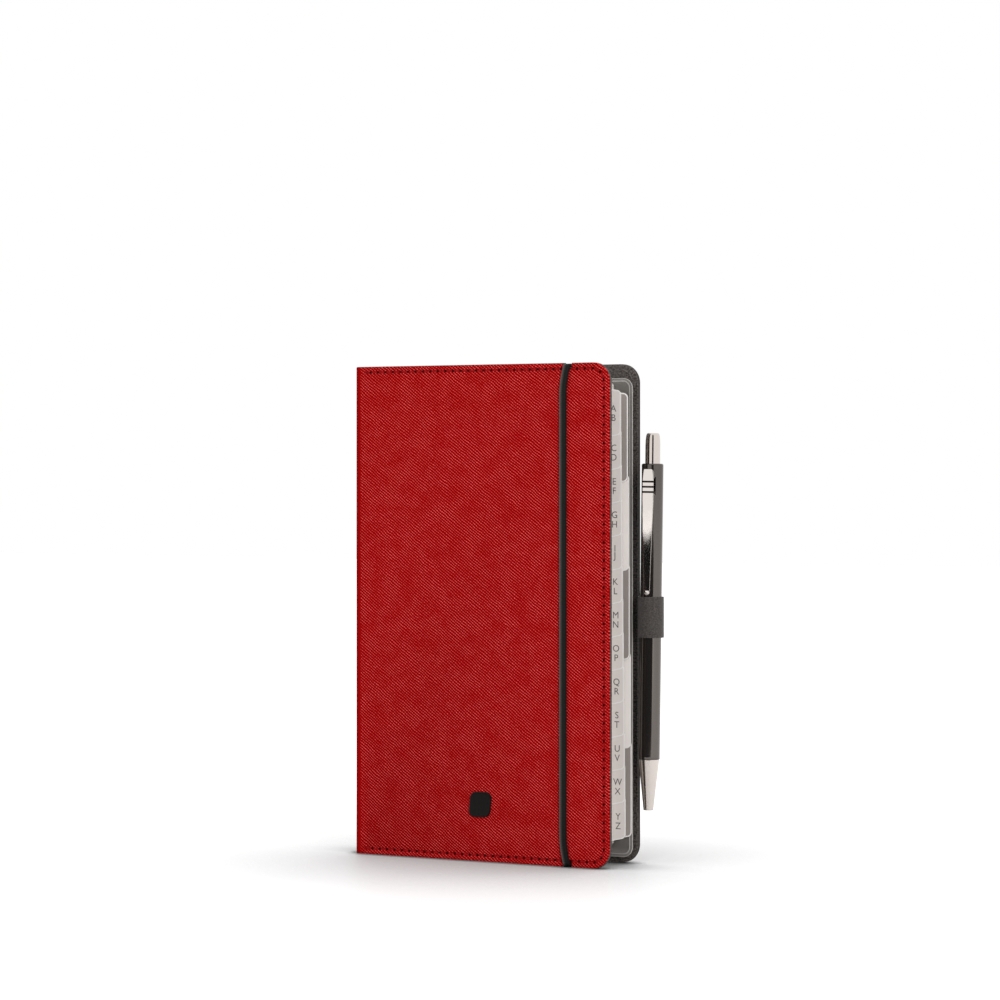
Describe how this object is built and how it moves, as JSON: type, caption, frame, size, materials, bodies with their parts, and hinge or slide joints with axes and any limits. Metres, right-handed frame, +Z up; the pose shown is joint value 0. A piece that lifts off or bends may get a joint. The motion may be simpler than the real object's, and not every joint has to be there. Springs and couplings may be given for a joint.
{
  "type": "planner",
  "caption": "Upright pocket planner: stitched leatherette cover, closing band, tabbed wire-bound insert, clear envelope and a retractable pen in a side loop.",
  "frame": {"origin": "centre of the footprint of the closed planner with its pen, at the bottom edges it stands on", "axes": "+Z up along the spine, -Y out of the front cover, +X from the spine to the open edge and the pen"},
  "size_m": [0.1218, 0.0262, 0.185],
  "materials": {
    "cover_leatherette": "fine cross grain, semi-matt",
    "cover_board": "raw greyboard",
    "cover_lining": "matt lining cloth",
    "pocket_paper": "matt lining cloth",
    "emblem_metal": "dark, satin",
    "elastic": "woven elastic",
    "loop_webbing": "ribbed webbing",
    "binding_wire": "bright wire",
    "clear_vinyl": "clear film, satin",
    "page_paper": "uncoated paper",
    "index_card": "satin film-laminated card",
    "section_dark": "satin film-laminated card",
    "section_light": "satin film-laminated card",
    "section_brown": "satin film-laminated card",
    "back_card_board": "greyboard",
    "pen_lacquer": "dark lacquer, gloss",
    "pen_chrome": "polished",
    "pen_satin": "satin chrome",
    "pen_spring_steel": "spring wire",
    "refill_brass": "turned",
    "refill_plastic": "clear-coloured tube",
    "cam_plastic": "moulded"
  },
  "bodies": {
    "root": {"back_leather": "cover_leatherette", "back_board": "cover_board", "back_lining": "cover_lining", "back_pocket": "pocket_paper", "pen_loop": "loop_webbing", "wire_comb": "binding_wire", "clear_envelope": "clear_vinyl", "insert_back_card": "back_card_board", "elastic_band": "elastic"},
    "spine": {"spine_leather": "cover_leatherette", "spine_board": "cover_board", "spine_lining": "cover_lining"},
    "front_cover": {"front_leather": "cover_leatherette", "front_board": "cover_board", "front_lining": "cover_lining", "front_pocket": "pocket_paper", "emblem_plate": "emblem_metal"},
    "insert_front": {"insert_front_sheet": "clear_vinyl"},
    "calendar": {"calendar_pages": "page_paper"},
    "index_leaf_01": {"index_leaf_01": "index_card"},
    "index_leaf_02": {"index_leaf_02": "index_card"},
    "index_leaf_03": {"index_leaf_03": "index_card"},
    "index_leaf_04": {"index_leaf_04": "index_card"},
    "index_leaf_05": {"index_leaf_05": "index_card"},
    "index_leaf_06": {"index_leaf_06": "index_card"},
    "index_leaf_07": {"index_leaf_07": "index_card"},
    "index_leaf_08": {"index_leaf_08": "index_card"},
    "index_leaf_09": {"index_leaf_09": "index_card"},
    "index_leaf_10": {"index_leaf_10": "index_card"},
    "index_leaf_11": {"index_leaf_11": "index_card"},
    "index_leaf_12": {"index_leaf_12": "index_card"},
    "index_leaf_13": {"index_leaf_13": "index_card"},
    "section_1": {"section_leaf_1": "section_dark", "section_pages_1": "page_paper"},
    "section_2": {"section_leaf_2": "section_light", "section_pages_2": "page_paper"},
    "section_3": {"section_leaf_3": "section_brown", "section_pages_3": "page_paper"},
    "section_4": {"section_leaf_4": "section_light", "section_pages_4": "page_paper"},
    "section_5": {"section_leaf_5": "section_dark", "section_pages_5": "page_paper"},
    "pen": {"pen_barrel": "pen_lacquer", "pen_nose_cone": "pen_satin", "pen_spring": "pen_spring_steel"},
    "pen_push": {"pen_button": "pen_satin", "pen_cam": "cam_plastic", "pen_refill_tube": "refill_plastic", "pen_refill_tip": "refill_brass"},
    "pen_clip": {"pen_clip": "pen_chrome"}
  },
  "joints": [
    {"name": "front_cover_hinge", "type": "hinge", "parent": "spine", "child": "front_cover", "pos_m": [-0.0598, -0.01075, 0.0925], "axis": [0, 0, -1], "range_deg": [0, 90], "deforming": ["elastic_band"]},
    {"name": "spine_hinge", "type": "hinge", "parent": "root", "child": "spine", "pos_m": [-0.0598, 0.01195, 0.0925], "axis": [0, 0, -1], "range_deg": [0, 90]},
    {"name": "insert_front_turn", "type": "hinge", "parent": "root", "child": "insert_front", "pos_m": [-0.04885, 0.0006, 0.0925], "axis": [0, 0, -1], "range_deg": [0, 174.6]},
    {"name": "calendar_turn", "type": "hinge", "parent": "root", "child": "calendar", "pos_m": [-0.04885, 0.0006, 0.0925], "axis": [0, 0, -1], "range_deg": [0, 169.2]},
    {"name": "index_leaf_01_turn", "type": "hinge", "parent": "root", "child": "index_leaf_01", "pos_m": [-0.04885, 0.0006, 0.0925], "axis": [0, 0, -1], "range_deg": [0, 154.8]},
    {"name": "index_leaf_02_turn", "type": "hinge", "parent": "root", "child": "index_leaf_02", "pos_m": [-0.04885, 0.0006, 0.0925], "axis": [0, 0, -1], "range_deg": [0, 146.1]},
    {"name": "index_leaf_03_turn", "type": "hinge", "parent": "root", "child": "index_leaf_03", "pos_m": [-0.04885, 0.0006, 0.0925], "axis": [0, 0, -1], "range_deg": [0, 137.3]},
    {"name": "index_leaf_04_turn", "type": "hinge", "parent": "root", "child": "index_leaf_04", "pos_m": [-0.04885, 0.0006, 0.0925], "axis": [0, 0, -1], "range_deg": [0, 128.5]},
    {"name": "index_leaf_05_turn", "type": "hinge", "parent": "root", "child": "index_leaf_05", "pos_m": [-0.04885, 0.0006, 0.0925], "axis": [0, 0, -1], "range_deg": [0, 119.7]},
    {"name": "index_leaf_06_turn", "type": "hinge", "parent": "root", "child": "index_leaf_06", "pos_m": [-0.04885, 0.0006, 0.0925], "axis": [0, 0, -1], "range_deg": [0, 111]},
    {"name": "index_leaf_07_turn", "type": "hinge", "parent": "root", "child": "index_leaf_07", "pos_m": [-0.04885, 0.0006, 0.0925], "axis": [0, 0, -1], "range_deg": [0, 102.2]},
    {"name": "index_leaf_08_turn", "type": "hinge", "parent": "root", "child": "index_leaf_08", "pos_m": [-0.04885, 0.0006, 0.0925], "axis": [0, 0, -1], "range_deg": [0, 93.4]},
    {"name": "index_leaf_09_turn", "type": "hinge", "parent": "root", "child": "index_leaf_09", "pos_m": [-0.04885, 0.0006, 0.0925], "axis": [0, 0, -1], "range_deg": [0, 84.6]},
    {"name": "index_leaf_10_turn", "type": "hinge", "parent": "root", "child": "index_leaf_10", "pos_m": [-0.04885, 0.0006, 0.0925], "axis": [0, 0, -1], "range_deg": [0, 75.9]},
    {"name": "index_leaf_11_turn", "type": "hinge", "parent": "root", "child": "index_leaf_11", "pos_m": [-0.04885, 0.0006, 0.0925], "axis": [0, 0, -1], "range_deg": [0, 67.1]},
    {"name": "index_leaf_12_turn", "type": "hinge", "parent": "root", "child": "index_leaf_12", "pos_m": [-0.04885, 0.0006, 0.0925], "axis": [0, 0, -1], "range_deg": [0, 58.3]},
    {"name": "index_leaf_13_turn", "type": "hinge", "parent": "root", "child": "index_leaf_13", "pos_m": [-0.04885, 0.0006, 0.0925], "axis": [0, 0, -1], "range_deg": [0, 49.6]},
    {"name": "section_1_turn", "type": "hinge", "parent": "root", "child": "section_1", "pos_m": [-0.04885, 0.0006, 0.0925], "axis": [0, 0, -1], "range_deg": [0, 40.5]},
    {"name": "section_2_turn", "type": "hinge", "parent": "root", "child": "section_2", "pos_m": [-0.04885, 0.0006, 0.0925], "axis": [0, 0, -1], "range_deg": [0, 32.7]},
    {"name": "section_3_turn", "type": "hinge", "parent": "root", "child": "section_3", "pos_m": [-0.04885, 0.0006, 0.0925], "axis": [0, 0, -1], "range_deg": [0, 24.8]},
    {"name": "section_4_turn", "type": "hinge", "parent": "root", "child": "section_4", "pos_m": [-0.04885, 0.0006, 0.0925], "axis": [0, 0, -1], "range_deg": [0, 16.9]},
    {"name": "section_5_turn", "type": "hinge", "parent": "root", "child": "section_5", "pos_m": [-0.04885, 0.0006, 0.0925], "axis": [0, 0, -1], "range_deg": [0, 9]},
    {"name": "pen_slide", "type": "slide", "parent": "root", "child": "pen", "axis": [0.014, 0, 0.9999], "range_m": [0, 0.17]},
    {"name": "pen_button_press", "type": "slide", "parent": "pen", "child": "pen_push", "axis": [-0.014, 0, -0.9999], "range_m": [0, 0.0045], "stiffness_N_per_m": 120, "springref_m": -0.004, "deforming": ["pen_spring"]},
    {"name": "pen_clip_flex", "type": "hinge", "parent": "pen", "child": "pen_clip", "pos_m": [0.05742, 0.00341, 0.13988], "axis": [-0.9876, -0.1564, 0.0138], "range_deg": [0, 6], "stiffness_Nm_per_rad": 0.1, "springref_deg": -5.73}
  ],
  "couplings": [
    {"joint": "spine_hinge", "follows": "front_cover_hinge", "ratio": 1},
    {"joint": "insert_front_turn", "follows": "front_cover_hinge", "ratio": 1.94},
    {"joint": "calendar_turn", "follows": "front_cover_hinge", "ratio": 1.88},
    {"joint": "index_leaf_01_turn", "follows": "front_cover_hinge", "ratio": 1.72},
    {"joint": "index_leaf_02_turn", "follows": "front_cover_hinge", "ratio": 1.6225},
    {"joint": "index_leaf_03_turn", "follows": "front_cover_hinge", "ratio": 1.525},
    {"joint": "index_leaf_04_turn", "follows": "front_cover_hinge", "ratio": 1.4275},
    {"joint": "index_leaf_05_turn", "follows": "front_cover_hinge", "ratio": 1.33},
    {"joint": "index_leaf_06_turn", "follows": "front_cover_hinge", "ratio": 1.2325},
    {"joint": "index_leaf_07_turn", "follows": "front_cover_hinge", "ratio": 1.135},
    {"joint": "index_leaf_08_turn", "follows": "front_cover_hinge", "ratio": 1.0375},
    {"joint": "index_leaf_09_turn", "follows": "front_cover_hinge", "ratio": 0.94},
    {"joint": "index_leaf_10_turn", "follows": "front_cover_hinge", "ratio": 0.8425},
    {"joint": "index_leaf_11_turn", "follows": "front_cover_hinge", "ratio": 0.745},
    {"joint": "index_leaf_12_turn", "follows": "front_cover_hinge", "ratio": 0.6475},
    {"joint": "index_leaf_13_turn", "follows": "front_cover_hinge", "ratio": 0.55},
    {"joint": "section_1_turn", "follows": "front_cover_hinge", "ratio": 0.45},
    {"joint": "section_2_turn", "follows": "front_cover_hinge", "ratio": 0.3625},
    {"joint": "section_3_turn", "follows": "front_cover_hinge", "ratio": 0.275},
    {"joint": "section_4_turn", "follows": "front_cover_hinge", "ratio": 0.1875},
    {"joint": "section_5_turn", "follows": "front_cover_hinge", "ratio": 0.1}
  ]
}
